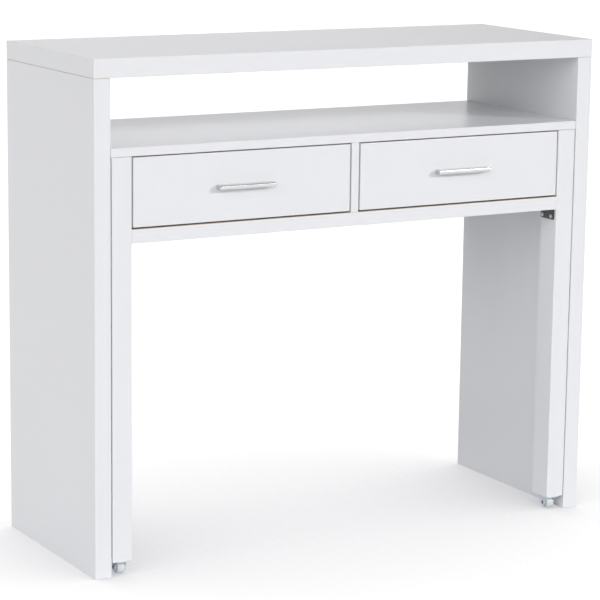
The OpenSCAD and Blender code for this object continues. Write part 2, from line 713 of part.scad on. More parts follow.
// From the back of the drawer front towards the handle
module handle_places() for (s = [-1, 1])
    translate([front_mid_x + s * handle_pitch / 2, front_t, handle_z]) rotate([90, 0, 0]) children();

module drawer_side(x0, x1) color(board_white) difference() {
    board([x0, front_t, drawer_z], [x1, drawer_rear_y, drawer_z + drawer_h]);
    drawer_base_solid(board_fit);
    at_drawer_slides() inner_fixings(drawer_slide_fix_y) hole(screw_d + 2 * fit, drawer_screw_len + bore_end);
    drawer_cam_places() cam_bores(drawer_cam, drawer_t);
    drawer_back_screw_places() flat_screw_seat(screw_d, drawer_back_screw_len);
}
module drawer_side_outer() drawer_side(drawer_out_x - drawer_t, drawer_out_x);
module drawer_side_inner() drawer_side(drawer_in_x, drawer_in_x + drawer_t);
module drawer_back() color(board_white) difference() {
    board([drawer_in_x + drawer_t, drawer_rear_y - drawer_t, base_z + drawer_base_t + board_fit],
        [drawer_out_x - drawer_t, drawer_rear_y, drawer_z + drawer_h]);
    drawer_back_screw_places() flat_screw_seat(screw_d, drawer_back_screw_len);
}
module drawer_bottom() color(base_white) drawer_base_solid(0);

// Cam fittings between the front and both sides, with their locks inside the drawer
module drawer_cam_places() for (z = [drawer_z + drawer_h / 4, drawer_z + drawer_h * 3 / 4]) {
    translate([drawer_in_x + drawer_t / 2, front_t, z]) along_y() children();
    translate([drawer_out_x - drawer_t / 2, front_t, z]) mirrored() along_y() children();
}
// Screws through both sides into the ends of the back
module drawer_back_screw_places() for (z = [drawer_z + 24, drawer_z + drawer_h - 18]) {
    translate([drawer_in_x, drawer_rear_y - drawer_t / 2, z]) along_x() children();
    translate([drawer_out_x, drawer_rear_y - drawer_t / 2, z]) mirrored() along_x() children();
}
drawer_back_screw_len = 32;
module drawer_fixings() color(zinc_steel) {
    drawer_cam_places() cam_fitting(drawer_cam, drawer_t);
    drawer_back_screw_places() flat_screw(screw_d, drawer_back_screw_len);
    at_drawer_slides() inner_fixings(drawer_slide_fix_y) pan_screw(screw_d, drawer_screw_len);
}

// A slim bar with a finger hollow below, solid at both ends where the screws go in
module handle() color(chrome_bright) difference() {
    at_handle(handle_len) handle_outline();
    at_handle(handle_pitch - 8) handle_hollow();
    handle_places() translate([0, 0, front_t - eps]) hole(handle_screw_d + 2 * fit, handle_screw_deep + 1);
}
// Runs an outline, drawn outwards and up from the drawer front, along a handle
module at_handle(len) translate([front_mid_x - len / 2, 0, handle_z - handle_h / 2])
    rotate([90, 0, 90]) linear_extrude(len) mirror([1, 0]) children();
module handle_outline() {
    square([handle_d - handle_edge_r, handle_h]);
    translate([0, handle_edge_r]) square([handle_d, handle_h - 2 * handle_edge_r]);
    for (z = [handle_edge_r, handle_h - handle_edge_r])
        translate([handle_d - handle_edge_r, z]) circle(r = handle_edge_r, $fn = 32);
}
module handle_hollow() {
    lip = handle_d - handle_wall;
    top = handle_h - handle_wall;
    translate([-1, -1]) square([lip - handle_edge_r + 1, top + 1]);
    translate([-1, -1]) square([lip + 1, top - handle_edge_r + 1]);
    translate([lip - handle_edge_r, top - handle_edge_r]) circle(r = handle_edge_r, $fn = 32);
}
module handle_screw() {
    translate([0, 0, -2.4]) cylinder(h = 2.4, d = 7.5, $fn = 32);
    cylinder(h = front_t + handle_screw_deep, d = handle_screw_d, $fn = 32);
}
module handle_screws() color(zinc_steel) handle_places() handle_screw();

module drawer_right_front() placed() drawer_front();
module drawer_right_side_outer() placed() drawer_side_outer();
module drawer_right_side_inner() placed() drawer_side_inner();
module drawer_right_back() placed() drawer_back();
module drawer_right_bottom() placed() drawer_bottom();
module drawer_right_handle() placed() handle();
module drawer_right_handle_screws() placed() handle_screws();
module drawer_right_fixings() placed() drawer_fixings();
module drawer_right_slide_inner() placed() at_drawer_slides() drawer_slide_inner();
module drawer_left_front() placed() mirrored() drawer_front();
module drawer_left_side_outer() placed() mirrored() drawer_side_outer();
module drawer_left_side_inner() placed() mirrored() drawer_side_inner();
module drawer_left_back() placed() mirrored() drawer_back();
module drawer_left_bottom() placed() mirrored() drawer_bottom();
module drawer_left_handle() placed() mirrored() handle();
module drawer_left_handle_screws() placed() mirrored() handle_screws();
module drawer_left_fixings() placed() mirrored() drawer_fixings();
module drawer_left_slide_inner() placed() mirrored() at_drawer_slides() drawer_slide_inner();

console_top();
console_side_left();
console_side_right();
rear_stretcher();
console_dowels();
cam_fittings();
desk_slide_outer_left();
desk_slide_outer_right();
desk_slide_outer_screws();
desk_top();
post_left();
post_right();
front_rail();
box_side_left();
box_side_right();
box_bottom();
box_back();
drawer_divider();
box_dowels();
box_screws();
desk_slide_inner_left();
desk_slide_inner_right();
desk_slide_inner_screws();
corner_brackets();
corner_bracket_screws();
caster_fork_left();
caster_fork_right();
caster_axles();
caster_screws();
caster_wheel_left();
caster_wheel_right();
drawer_left_slide_outer();
drawer_right_slide_outer();
drawer_slide_outer_screws();
desk_slide_middle_left();
desk_slide_middle_right();
desk_slide_outer_cage_left();
desk_slide_outer_cage_right();
desk_slide_inner_cage_left();
desk_slide_inner_cage_right();
drawer_left_slide_cages();
drawer_right_slide_cages();
drawer_left_front();
drawer_left_side_outer();
drawer_left_side_inner();
drawer_left_back();
drawer_left_bottom();
drawer_left_handle();
drawer_left_handle_screws();
drawer_left_fixings();
drawer_left_slide_inner();
drawer_right_front();
drawer_right_side_outer();
drawer_right_side_inner();
drawer_right_back();
drawer_right_bottom();
drawer_right_handle();
drawer_right_handle_screws();
drawer_right_fixings();
drawer_right_slide_inner();
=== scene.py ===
# %% [markdown]
# # A white pull-out console desk
# The desk's boards, slides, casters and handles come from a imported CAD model, which is the frame for
# everything here. This lesson gives each of them its finish, adds the small hardware that a CAD solid
# leaves plain, and lights it as a product photograph would.

# %% Load the frame
import json
import math
import bmesh
import bpy
from mathutils import Matrix, Vector


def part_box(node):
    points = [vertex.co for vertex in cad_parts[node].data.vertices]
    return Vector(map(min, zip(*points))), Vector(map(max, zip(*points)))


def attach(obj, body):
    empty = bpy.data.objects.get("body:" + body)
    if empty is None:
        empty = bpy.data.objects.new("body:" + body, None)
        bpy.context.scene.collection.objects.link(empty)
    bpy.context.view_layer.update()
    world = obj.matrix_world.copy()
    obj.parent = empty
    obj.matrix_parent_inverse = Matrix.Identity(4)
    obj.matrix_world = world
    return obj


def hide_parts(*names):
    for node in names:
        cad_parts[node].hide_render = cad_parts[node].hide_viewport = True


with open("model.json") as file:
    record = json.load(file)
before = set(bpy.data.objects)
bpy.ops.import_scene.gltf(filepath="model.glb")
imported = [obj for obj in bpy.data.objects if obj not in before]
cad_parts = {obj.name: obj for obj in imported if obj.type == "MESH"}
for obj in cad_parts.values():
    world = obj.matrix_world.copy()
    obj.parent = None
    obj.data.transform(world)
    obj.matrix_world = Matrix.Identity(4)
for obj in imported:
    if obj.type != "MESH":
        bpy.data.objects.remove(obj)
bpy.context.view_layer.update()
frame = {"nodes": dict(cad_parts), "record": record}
nodes = frame["nodes"]
mm = 0.001

# %% [markdown]
# ## Camera
# A product photograph like this one is taken with a long lens from a few metres away, so that upright
# edges stay nearly parallel. The lens and the place below were solved from the desk's own corners: a
# camera that looks 30 degrees to the right and 11 degrees down, rolled by less than one degree.

# %% Camera
CAMERA_AT = Vector((-2.1389, -3.7397, 1.2546))
LOOK_RIGHT = math.radians(29.67)
LOOK_DOWN = math.radians(11.14)
ROLL = math.radians(0.73)
FOCAL_PIXELS = 2430.6
IMAGE_PIXELS = 600
SENSOR_WIDTH = 36
NEAREST, FARTHEST = 0.1, 100


def make_camera():
    data = bpy.data.cameras.new("camera")
    data.sensor_width = SENSOR_WIDTH
    data.lens = FOCAL_PIXELS / IMAGE_PIXELS * SENSOR_WIDTH
    data.clip_start, data.clip_end = NEAREST, FARTHEST
    forward = Vector((
        math.sin(LOOK_RIGHT) * math.cos(LOOK_DOWN),
        math.cos(LOOK_RIGHT) * math.cos(LOOK_DOWN),
        -math.sin(LOOK_DOWN),
    ))
    level = Vector((math.cos(LOOK_RIGHT), -math.sin(LOOK_RIGHT), 0))
    upright = level.cross(forward)
    right = math.cos(ROLL) * level + math.sin(ROLL) * upright
    up = math.cos(ROLL) * upright - math.sin(ROLL) * level
    camera = bpy.data.objects.new("camera", data)
    turn = Matrix((right, up, -forward)).transposed().to_4x4()
    camera.matrix_world = Matrix.Translation(CAMERA_AT) @ turn
    bpy.context.scene.collection.objects.link(camera)
    bpy.context.scene.camera = camera
    return camera


print("lens", round(make_camera().data.lens, 1), "mm")

# %% [markdown]
# ## Node helpers
# Every finish below is a small network of nodes. One helper adds a node and fills its sockets, one does a
# sum, one starts a material and one wires its Principled shader. The first two serve Geometry Nodes as well.

# %% Node helpers
def add(tree, kind, values=None, **settings):
    node = tree.nodes.new(kind)
    for name, value in settings.items():
        setattr(node, name, value)
    for name, value in (values or {}).items():
        if isinstance(value, list):
            for source in value:
                tree.links.new(source, node.inputs[name])
        elif isinstance(value, bpy.types.NodeSocket):
            tree.links.new(value, node.inputs[name])
        else:
            node.inputs[name].default_value = value
    return node


def maths(tree, operation, *values):
    return add(tree, "ShaderNodeMath", dict(enumerate(values)), operation=operation).outputs[0]


def start_material(name, **values):
    material = bpy.data.materials.new(name)
    material.use_nodes = True
    tree = material.node_tree
    shader = tree.nodes["Principled BSDF"]
    for socket, value in values.items():
        shader.inputs[socket.replace("_", " ")].default_value = value
    return material, tree, shader


def wire(tree, shader, **sources):
    for socket, source in sources.items():
        tree.links.new(source, shader.inputs[socket.replace("_", " ")])


# %% [markdown]
# ## Pattern helpers
# The patterns of all finishes read Object coordinates. Each piece has its place in its mesh and its object
# at the origin, so a pattern runs on from board to board and stays on its piece when the desk moves. Noise
# gives the pattern, and three more helpers turn it into a colour, a roughness or a bump.

# %% Pattern helpers
BUMP_DEPTH = 0.1 * mm
EVEN = (1, 1, 1)


def object_pattern(tree, stretch):
    place = add(tree, "ShaderNodeTexCoord").outputs["Object"]
    return add(tree, "ShaderNodeMapping", {"Vector": place, "Scale": stretch}).outputs["Vector"]


def noise(tree, scale, detail, stretch=EVEN, roughness=0.5):
    return add(tree, "ShaderNodeTexNoise", {
        "Vector": object_pattern(tree, stretch),
        "Scale": scale, "Detail": detail, "Roughness": roughness,
    }).outputs["Fac"]


def blend_between(tree, factor, low, high):
    ramp = add(tree, "ShaderNodeMapRange", {"Value": factor, "To Min": low, "To Max": high})
    return ramp.outputs["Result"]


def mix_colours(tree, factor, first, second):
    mix = add(tree, "ShaderNodeMix", data_type="RGBA")
    for socket, value in ((mix.inputs[0], factor), (mix.inputs[6], first), (mix.inputs[7], second)):
        if isinstance(value, bpy.types.NodeSocket):
            tree.links.new(value, socket)
        else:
            socket.default_value = value
    return mix.outputs[2]


def bump(tree, height, strength, under=None):
    values = {"Height": height, "Strength": strength, "Distance": BUMP_DEPTH}
    if under is not None:
        values["Normal"] = under
    return add(tree, "ShaderNodeBump", values).outputs["Normal"]


# %% [markdown]
# ## Melamine board
# The boards are chipboard with a white melamine face. It is satin, never quite smooth: the press leaves
# a shallow wood grain that runs along each board, and a fine orange peel over it. Stretched noise makes
# the grain, in one direction for each way that a board can lie, and an even noise makes the peel. Both
# only touch bump, roughness and a trace of the colour, because white shows everything.

# %% Melamine
WHITE = (0.802, 0.808, 0.820, 1)
WHITE_LOW = (0.788, 0.795, 0.807, 1)
BETWEEN_GRAIN, ON_GRAIN = 0.35, 0.65
GRAIN_SHARE = 0.6
GRAIN_BUMP, PEEL_BUMP = 0.03, 0.05
PEEL_SCALE, CLOUD_SCALE = 650.0, 3.5
SATIN = (0.30, 0.285)


def melamine(name, stretch):
    material, tree, shader = start_material(name, IOR=1.5)
    grain = noise(tree, scale=1.0, detail=4.0, stretch=stretch, roughness=0.6)
    peel = noise(tree, PEEL_SCALE, detail=2.0)
    cloud = noise(tree, CLOUD_SCALE, detail=1.0)
    streak = add(tree, "ShaderNodeMapRange", {
        "Value": grain, "From Min": BETWEEN_GRAIN, "From Max": ON_GRAIN,
    }).outputs["Result"]
    tone = add(tree, "ShaderNodeMath", {
        0: maths(tree, "MULTIPLY", streak, GRAIN_SHARE), 1: cloud,
    }, operation="ADD", use_clamp=True).outputs[0]
    wire(
        tree, shader,
        Base_Color=mix_colours(tree, tone, WHITE_LOW, WHITE),
        Roughness=blend_between(tree, streak, *SATIN),
        Normal=bump(tree, peel, PEEL_BUMP, under=bump(tree, streak, GRAIN_BUMP)))
    return material


ACROSS, ALONG = 420, 9
board_upright = melamine("white melamine upright", (ACROSS, ACROSS, ALONG))
board_level = melamine("white melamine level", (ALONG, ACROSS, ACROSS))
board_deep = melamine("white melamine front to back", (ACROSS, ALONG, ACROSS))
print("grain", round(ACROSS / ALONG), "times as long as it is wide")

# %% [markdown]
# ## Metals
# The slides, screws and caster forks are zinc plated. Plating is cloudy at the scale of a fingertip and
# brushed at the scale of a hair, so one noise sets the colour and another the roughness and the bump. The
# caster's plating has a faint blue passivation, and the handles are satin chrome, brushed along the bar.

# %% Metals
PLATING_CLOUD = 140.0
HAIR_BUMP = 0.08
BRUSHED_IN_DEPTH, BRUSHED_IN_WIDTH, TUMBLED = (900, 30, 900), (40, 900, 900), (700, 700, 700)


def plated_steel(name, light, dark, sheen, brush=BRUSHED_IN_DEPTH):
    material, tree, shader = start_material(name, Metallic=1.0)
    cloud = noise(tree, PLATING_CLOUD, detail=3.0)
    hair = noise(tree, scale=1.0, detail=2.0, stretch=brush)
    wire(
        tree, shader,
        Base_Color=mix_colours(tree, cloud, dark, light),
        Roughness=blend_between(tree, hair, *sheen),
        Normal=bump(tree, hair, HAIR_BUMP))
    return material


slide_steel = plated_steel("zinc slide steel", (0.74, 0.76, 0.78, 1), (0.60, 0.62, 0.65, 1), (0.28, 0.42))
cage_steel = plated_steel("bright cage steel", (0.82, 0.83, 0.85, 1), (0.70, 0.71, 0.74, 1), (0.16, 0.26))
screw_steel = plated_steel(
    "zinc screw steel", (0.80, 0.81, 0.83, 1), (0.66, 0.68, 0.71, 1), (0.22, 0.38), TUMBLED)
caster_steel = plated_steel(
    "blue passivated steel", (0.72, 0.77, 0.83, 1), (0.58, 0.63, 0.70, 1), (0.28, 0.42), TUMBLED)
handle_chrome = plated_steel(
    "satin chrome", (0.68, 0.685, 0.69, 1), (0.62, 0.625, 0.63, 1), (0.18, 0.26), BRUSHED_IN_WIDTH)
for finish in (slide_steel, cage_steel, screw_steel, caster_steel, handle_chrome):
    print("metal:", finish.name)

# %% [markdown]
# ## Paint, plastic and wood
# The corner brackets are painted dark grey. The wheels are moulded in a hard white plastic with a semi-gloss
# skin that traffic dulls in spots. The dowels are bare beech, and the drawer bottoms are white hardboard, a
# little warmer than the boards. Each of the four is one mottled colour, so one function makes them all.

# %% Paint, plastic and wood
def mottled(name, dark, light, sheen, scale, detail, stretch=EVEN, relief=0, **values):
    material, tree, shader = start_material(name, **values)
    speck = noise(tree, scale, detail, stretch)
    wire(
        tree, shader,
        Base_Color=mix_colours(tree, speck, dark, light),
        Roughness=blend_between(tree, speck, *sheen))
    if relief:
        wire(tree, shader, Normal=bump(tree, speck, relief))
    return material


bracket_paint = mottled(
    "dark grey paint", (0.045, 0.05, 0.055, 1), (0.085, 0.09, 0.095, 1), (0.35, 0.5),
    scale=900.0, detail=2.0, relief=0.15, Metallic=0.2)
wheel_plastic = mottled(
    "white wheel plastic", (0.60, 0.63, 0.63, 1), (0.70, 0.73, 0.73, 1), (0.22, 0.42),
    scale=420.0, detail=4.0, IOR=1.49)
dowel_wood = mottled(
    "bare beech", (0.50, 0.33, 0.17, 1), (0.72, 0.54, 0.34, 1), (0.55, 0.75),
    scale=1.0, detail=3.0, stretch=(900, 900, 60))
drawer_base = mottled(
    "white faced hardboard", (0.74, 0.73, 0.71, 1), (0.80, 0.79, 0.77, 1), (0.4, 0.55),
    scale=300.0, detail=3.0, IOR=1.48)
for finish in (bracket_paint, wheel_plastic, dowel_wood, drawer_base):
    print("finish:", finish.name)

# %% [markdown]
# ## Finishes on the CAD nodes
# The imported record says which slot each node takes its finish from. Boards also need a grain direction: it
# runs along the longest side of each board, which its box gives. The two drawer fronts are the exception:
# they are cut from one sheet with upright grain, as the photograph shows.

# %% Give each node its finish
SLOT_FINISH = {
    "slide": slide_steel,
    "cage": cage_steel,
    "fixing": screw_steel,
    "caster": caster_steel,
    "handle": handle_chrome,
    "bracket": bracket_paint,
    "wheel": wheel_plastic,
    "dowel": dowel_wood,
    "drawer_base": drawer_base,
}
slot_of = {part["node"]: part["material_slot"] for part in frame["record"]["subparts"]}


def board_finish(node):
    if node.endswith("_front"):
        return board_upright
    low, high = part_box(node)
    size = high - low
    longest = max(range(3), key=lambda axis: size[axis])
    return (board_level, board_deep, board_upright)[longest]


for name, piece in nodes.items():
    piece.data.materials.clear()
    piece.data.materials.append(SLOT_FINISH.get(slot_of[name]) or board_finish(name))
print(len(nodes), "nodes finished")

# %% [markdown]
# ## Softened edges
# The CAD boards have crisp cut corners and the CAD steel has flat facets. Real melamine edges are rubbed
# over and real sheet steel is rolled, so each board and each formed steel part gets a copy with its doubles
# merged, a hair of bevel on each sharp edge and smooth shading elsewhere. The copy replaces the node and
# rides with its body.

# %% Softened copies
EASE_BOARD = 0.2 * mm
EASE_HANDLE = 0.5 * mm
EASE_STEEL = 0.12 * mm
SAME_PLACE = 0.001 * mm
FLAT = math.radians(0.5)
SHARP = math.radians(30)
CREASED = math.radians(50)
FLAT_FIRST = 100
body_of = {
    node: body for body, names in frame["record"]["behaviour"]["bodies"].items() for node in names
}


def sound_copy(node):
    copy = bmesh.new()
    copy.from_mesh(nodes[node].data)
    bmesh.ops.remove_doubles(copy, verts=copy.verts, dist=SAME_PLACE)
    bmesh.ops.dissolve_limit(copy, angle_limit=FLAT, verts=copy.verts, edges=copy.edges)
    return copy


def soften(copy, ease):
    sharp = [edge for edge in copy.edges if edge.is_manifold and edge.calc_face_angle() > SHARP]
    bmesh.ops.bevel(
        copy, geom=sharp, offset=ease, segments=2, profile=0.5, affect="EDGES", clamp_overlap=True)


def mesh_of(copy, name):
    mesh = bpy.data.meshes.new(name)
    copy.to_mesh(mesh)
    copy.free()
    return mesh


def add_piece(name, mesh, node, *finishes):
    mesh.shade_smooth()
    mesh.set_sharp_from_angle(angle=CREASED)
    for finish in finishes:
        if finish.name not in mesh.materials:
            mesh.materials.append(finish)
    piece = bpy.data.objects.new(name, mesh)
    bpy.context.scene.collection.objects.link(piece)
    flatten = piece.modifiers.new("flat faces stay flat", "WEIGHTED_NORMAL")
    flatten.keep_sharp, flatten.weight = True, FLAT_FIRST
    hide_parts(node)
    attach(piece, body_of[node])
    return piece


# %% [markdown]
# ## Raw joints and painted gap shade
# The edge band stops where a board butts against another one. The thin brown line under the slab and on top
# of each post is that bare board in the joint, dark enough to stand in for the joint's shade as well. The
# brown line under the drawers is painted shade in the gap, put on the rail's top edge and the fronts' bottom
# edges. Those faces get a second material.

# %% Boards
CHIP_SCALE = 700.0
# chipboard browns, dark enough to act as painted shade in the joints and drawer gaps
CHIP_SHADE_DARK, CHIP_SHADE_LIGHT = (0.38, 0.32, 0.24, 1), (0.56, 0.48, 0.37, 1)
BUTTED = ("console_side_left", "console_side_right", "post_left", "post_right")
TILTED, LEVEL = 0.3, 0.95


def chipboard():
    material, tree, shader = start_material("bare chipboard and painted gap shade", Roughness=0.9, Specular_IOR_Level=0.2)
    chips = add(tree, "ShaderNodeTexVoronoi", {"Vector": object_pattern(tree, EVEN), "Scale": CHIP_SCALE})
    wire(tree, shader, Base_Color=mix_colours(tree, chips.outputs["Distance"], CHIP_SHADE_DARK, CHIP_SHADE_LIGHT))
    return material


# bare chipboard in the joints, and painted shade in the drawer gaps
bare_board_and_gap_shade = chipboard()


# picks the joint chamfers (bare board, darkened as painted shade) and the drawer-gap faces (painted shade)
def is_bare_or_gap_shade(node, face, top):
    if node in BUTTED:
        return TILTED < face.normal.z < LEVEL and face.calc_center_median().z > top - mm
    if node == "front_rail":
        return face.normal.z > TILTED
    return node.endswith("_front") and face.normal.z < -LEVEL


def finish_board(node):
    copy = sound_copy(node)
    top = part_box(node)[1].z
    soften(copy, EASE_BOARD)
    copy.normal_update()
    # these faces get the brown as painted shade
    bare = [face for face in copy.faces if is_bare_or_gap_shade(node, face, top)]
    for face in bare:
        face.material_index = 1
    finishes = (board_finish(node), bare_board_and_gap_shade) if bare else (board_finish(node),)
    return add_piece(node + "_board", mesh_of(copy, node), node, *finishes)


boards = [finish_board(name) for name in nodes if slot_of[name] == "board"]
print(len(boards), "boards,", sum(len(board.data.polygons) for board in boards), "faces")

# %% [markdown]
# ## Steel parts
# Slides, cages, forks, brackets and handles are pressed, rolled or drawn, so the same copy gets a smaller
# bevel, in scale with its sheet. The cages are too thin for one, and the handles' long edges are already
# round, so only their ends need easing. The caster axles are left out here: they are turned further down.

# %% Slides, forks, brackets and handles
STEEL_EASE = {
    "slide": EASE_STEEL,
    "cage": 0,
    "caster": EASE_STEEL,
    "bracket": EASE_STEEL,
    "handle": EASE_HANDLE,
}
AXLES = "caster_axles"


def finish_steel(node):
    copy = sound_copy(node)
    ease = STEEL_EASE[slot_of[node]]
    if ease:
        soften(copy, ease)
    return add_piece(node + "_formed", mesh_of(copy, node), node, SLOT_FINISH[slot_of[node]])


steel = [finish_steel(name) for name in nodes if slot_of[name] in STEEL_EASE and name != AXLES]
print(len(steel), "steel pieces,", sum(len(piece.data.polygons) for piece in steel), "faces")

# %% [markdown]
# ## Geometry Nodes
# Screws, rivets and wheels follow rules: a screw is a head, a core and a helix, a wheel is a profile turned
# round its axle. Geometry Nodes state such a rule once, with named inputs for its sizes. The helpers below
# start a tree, end it in Realize Instances and Set Material, and turn what it grows into a plain mesh.

# %% Geometry Nodes helpers
def start_tree(name, inputs):
    tree = bpy.data.node_groups.new(name, "GeometryNodeTree")
    tree.interface.new_socket("Geometry", in_out="INPUT", socket_type="NodeSocketGeometry")
    for label, kind in inputs.items():
        tree.interface.new_socket(label, in_out="INPUT", socket_type="NodeSocket" + kind)
    tree.interface.new_socket("Geometry", in_out="OUTPUT", socket_type="NodeSocketGeometry")
    return tree, tree.nodes.new("NodeGroupInput").outputs


def end_tree(tree, shape, finish):
    real = add(tree, "GeometryNodeRealizeInstances", {"Geometry": shape})
    coated = add(tree, "GeometryNodeSetMaterial", {"Geometry": real.outputs[0], "Material": finish})
    tree.links.new(coated.outputs[0], tree.nodes.new("NodeGroupOutput").inputs[0])


def grow(tree, start, values):
    carrier = bpy.data.objects.new("carrier", start)
    bpy.context.scene.collection.objects.link(carrier)
    modifier = carrier.modifiers.new("grow", "NODES")
    modifier.node_group = tree
    for socket in tree.interface.items_tree:
        if socket.in_out == "INPUT" and socket.name in values:
            modifier[socket.identifier] = values[socket.name]
    graph = bpy.context.evaluated_depsgraph_get()
    mesh = bpy.data.meshes.new_from_object(carrier.evaluated_get(graph))
    bpy.data.objects.remove(carrier)
    mesh.materials.clear()
    mesh.materials.append(values["Finish"])
    return mesh


# %% [markdown]
# ## Screw heads
# A head is a countersunk cone or a domed pan head, with a cross recess for the driver. The dome starts as a
# flat drum whose outer face is lifted in the middle, and the recess is two crossed blades that a boolean
# takes away. A head lies with its outer face towards -Z, and the screw goes in towards +Z.

# %% Screw heads
SCREW_SIDES = 24
DRUM_RINGS = 4
# shares of the recess' span; a blade is centred on the head's face, so only half its height cuts in
BLADE_WIDTH, BLADE_HEIGHT = 0.26, 0.7
# how round the dome is, and how much of the head's height it takes
DOME_ROUND, DOME_RISE = 0.95, 0.35


def lift(tree, shape, height):
    place = add(tree, "ShaderNodeCombineXYZ", {"Z": height}).outputs[0]
    return add(tree, "GeometryNodeTransform", {"Geometry": shape, "Translation": place}).outputs[0]


def cross_recess(tree, head, face, span):
    narrow = maths(tree, "MULTIPLY", span, BLADE_WIDTH)
    tall = maths(tree, "MULTIPLY", span, BLADE_HEIGHT)
    blades = []
    for x, y in ((span, narrow), (narrow, span)):
        size = add(tree, "ShaderNodeCombineXYZ", {"X": x, "Y": y, "Z": tall}).outputs[0]
        blade = add(tree, "GeometryNodeMeshCube", {"Size": size}).outputs[0]
        blades.append(lift(tree, blade, face))
    return add(tree, "GeometryNodeMeshBoolean", {
        "Mesh 1": head, "Mesh 2": blades, "Self Intersection": True,
    }, operation="DIFFERENCE", solver="EXACT").outputs[0]


def sunk_head(tree, radius, height, neck):
    return add(tree, "GeometryNodeMeshCone", {
        "Vertices": SCREW_SIDES, "Radius Bottom": radius, "Radius Top": neck, "Depth": height,
    }).outputs[0]


def domed_head(tree, radius, height):
    drum = add(tree, "GeometryNodeMeshCylinder", {
        "Vertices": SCREW_SIDES, "Fill Segments": DRUM_RINGS, "Radius": radius, "Depth": height,
    }).outputs[0]
    here = add(tree, "GeometryNodeInputPosition").outputs[0]
    x, y, z = add(tree, "ShaderNodeSeparateXYZ", {0: here}).outputs
    reach = maths(tree, "ADD", maths(tree, "MULTIPLY", x, x), maths(tree, "MULTIPLY", y, y))
    part = maths(tree, "DIVIDE", reach, maths(tree, "MULTIPLY", radius, radius))
    crown = maths(tree, "SQRT", maths(tree, "SUBTRACT", 1.0, maths(tree, "MULTIPLY", part, DOME_ROUND)))
    share = maths(tree, "MULTIPLY_ADD", crown, -DOME_RISE, DOME_RISE - 1)
    is_outer = maths(tree, "LESS_THAN", z, 0.0)
    outer = maths(tree, "MULTIPLY", is_outer, maths(tree, "MULTIPLY", share, height))
    place = add(tree, "ShaderNodeCombineXYZ", {"X": x, "Y": y, "Z": outer}).outputs[0]
    return add(tree, "GeometryNodeSetPosition", {"Geometry": drum, "Position": place}).outputs[0]


print("a head has", SCREW_SIDES, "sides")

# %% [markdown]
# ## Threads
# Below the head a screw is a straight core with a point, and a three-sided ridge that climbs it in a helix.
# A spiral curve with the same radius at both ends is that helix, and Curve to Mesh lays the ridge along it.

# %% Threaded shank
THREAD_STEPS = 12
RIDGE_SIDES = 3
# a share of the pitch
THREAD_DEPTH = 0.3
POINT_RADIUS = 0.1 * mm


def threaded_shank(tree, diameter, pitch, start, length):
    core = maths(tree, "MULTIPLY_ADD", pitch, -THREAD_DEPTH, maths(tree, "MULTIPLY", diameter, 0.5))
    straight = maths(tree, "SUBTRACT", maths(tree, "SUBTRACT", length, diameter), start)
    rod = add(tree, "GeometryNodeMeshCylinder", {
        "Vertices": SCREW_SIDES, "Radius": core, "Depth": straight,
    }).outputs[0]
    point = add(tree, "GeometryNodeMeshCone", {
        "Vertices": SCREW_SIDES, "Radius Bottom": core, "Radius Top": POINT_RADIUS, "Depth": diameter,
    }).outputs[0]
    helix = add(tree, "GeometryNodeCurveSpiral", {
        "Resolution": THREAD_STEPS, "Rotations": maths(tree, "DIVIDE", straight, pitch),
        "Start Radius": core, "End Radius": core, "Height": straight,
    }).outputs[0]
    ridge = add(tree, "GeometryNodeCurvePrimitiveCircle", {
        "Resolution": RIDGE_SIDES, "Radius": maths(tree, "MULTIPLY", pitch, THREAD_DEPTH),
    }).outputs[0]
    thread = add(tree, "GeometryNodeCurveToMesh", {
        "Curve": helix, "Profile Curve": ridge, "Fill Caps": True,
    }).outputs[0]
    return [
        lift(tree, rod, maths(tree, "MULTIPLY_ADD", straight, 0.5, start)),
        lift(tree, point, maths(tree, "ADD", start, straight)),
        lift(tree, thread, start),
    ]


print(THREAD_STEPS, "steps in each turn of thread")

# %% [markdown]
# ## Wood screws
# One tree makes every screw on the desk. It sets one screw on each vertex of a small start mesh, whose
# "axis" attribute says which way that screw was driven.

# %% Whole screws
# the recess' span as a share of the head's diameter, the shank's start as a share of a sunk head's height
RECESS_SPAN, SHANK_START = 0.58, 0.8


def make_screw_tree():
    tree, size = start_tree("wood screw", {
        "Head diameter": "Float", "Head height": "Float", "Countersunk": "Bool",
        "Shank diameter": "Float", "Length": "Float", "Pitch": "Float", "Finish": "Material",
    })
    radius = maths(tree, "MULTIPLY", size["Head diameter"], 0.5)
    neck = maths(tree, "MULTIPLY", size["Shank diameter"], 0.5)
    height, sunk = size["Head height"], size["Countersunk"]
    head = add(tree, "GeometryNodeSwitch", {
        "Switch": sunk, "False": domed_head(tree, radius, height),
        "True": sunk_head(tree, radius, height, neck),
    }, input_type="GEOMETRY").outputs[0]
    is_domed = maths(tree, "SUBTRACT", 1.0, sunk)
    face = maths(tree, "MULTIPLY", maths(tree, "MULTIPLY", is_domed, height), -1.0)
    head = cross_recess(tree, head, face, maths(tree, "MULTIPLY", size["Head diameter"], RECESS_SPAN))
    start = maths(tree, "MULTIPLY", maths(tree, "MULTIPLY", sunk, height), SHANK_START)
    shank = threaded_shank(tree, size["Shank diameter"], size["Pitch"], start, size["Length"])
    screw = add(tree, "GeometryNodeJoinGeometry", {"Geometry": [head, *shank]}).outputs[0]
    axis = add(tree, "GeometryNodeInputNamedAttribute", {"Name": "axis"}, data_type="FLOAT_VECTOR")
    turn = add(tree, "FunctionNodeAlignRotationToVector", {"Vector": axis.outputs[0]}, axis="Z")
    driven = add(tree, "GeometryNodeInstanceOnPoints", {
        "Points": size["Geometry"], "Instance": screw, "Rotation": turn.outputs[0],
    })
    end_tree(tree, driven.outputs[0], size["Finish"])
    return tree


screw_tree = make_screw_tree()
print(len(screw_tree.nodes), "nodes make a screw")

# %% [markdown]
# ## Where the screws go
# The CAD keeps each screw as a plain solid in its final place. Each loose solid is sorted by the diameter of
# its head, its axis is the direction with the fewest rings, and its wide end is the head. That gives the
# places, so no place is typed twice. Solids that aren't screws, such as cam fittings, stay as they are.

